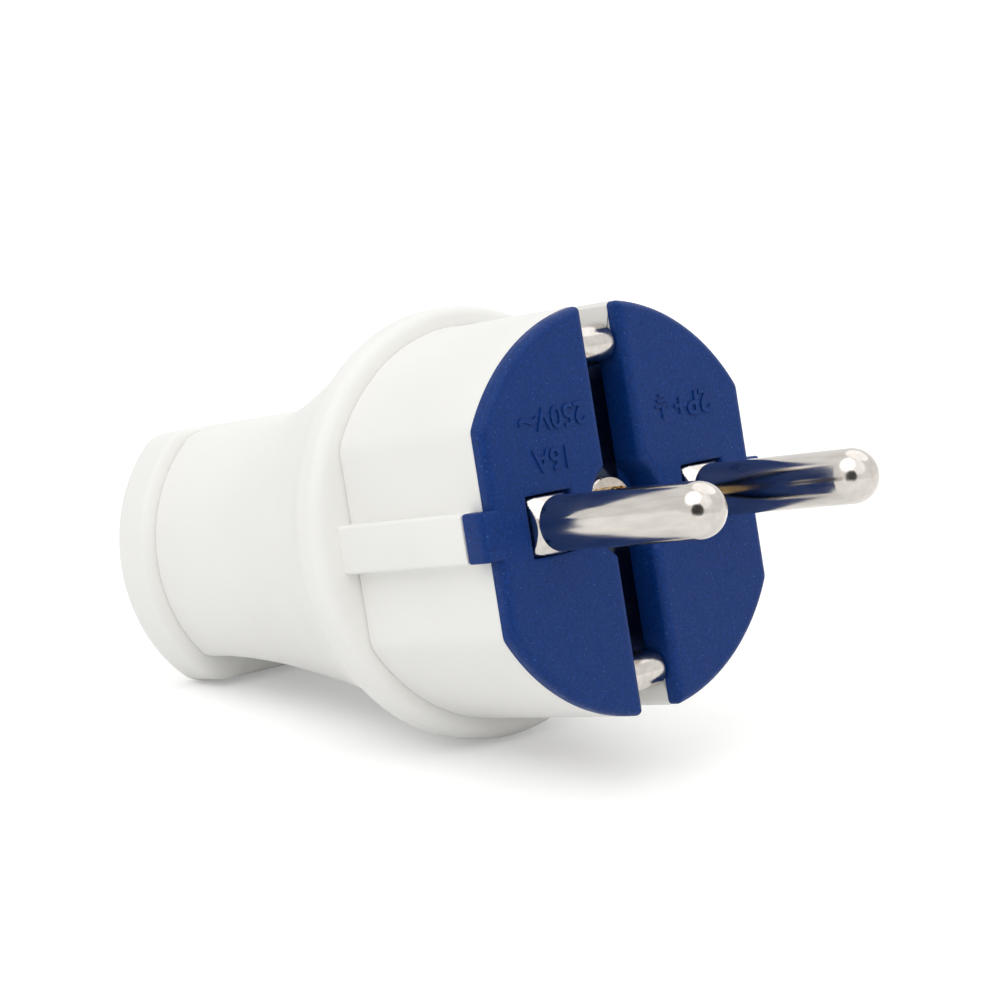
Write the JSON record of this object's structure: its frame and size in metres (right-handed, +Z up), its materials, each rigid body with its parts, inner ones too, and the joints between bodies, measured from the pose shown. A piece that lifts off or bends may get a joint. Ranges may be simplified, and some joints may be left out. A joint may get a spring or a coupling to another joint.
{
  "type": "type F earthed mains plug, rewirable",
  "caption": "Rewirable earthed mains plug with round pins, side earth contacts and a flared grip with finger flats, lying on its collar and rear lip.",
  "frame": {"origin": "centre of the bounding box's base, on the surface that the plug lies on", "axes": "+X level, the way the pins point (they rise at 12 degrees), +Y across the pins, +Z up"},
  "size_m": [0.0774, 0.0402, 0.0419],
  "materials": {
    "housing_rubber": "matte",
    "insert_plastic": "satin",
    "nickel": "polished",
    "brass": "satin",
    "zinc_steel": "satin"
  },
  "bodies": {
    "root": {"housing": "housing_rubber", "pin_carrier": "insert_plastic", "pin_left": "nickel", "pin_right": "nickel", "earth_strip": "nickel", "assembly_washer": "nickel", "assembly_screw": "brass", "threaded_bush": "brass", "earth_washer": "brass", "earth_screw": "brass", "terminal_screw_left": "brass", "terminal_screw_right": "brass", "cord_saddle": "insert_plastic", "clamp_screw_left": "zinc_steel", "clamp_screw_right": "zinc_steel", "clamp_nut_left": "zinc_steel", "clamp_nut_right": "zinc_steel"}
  },
  "joints": []
}
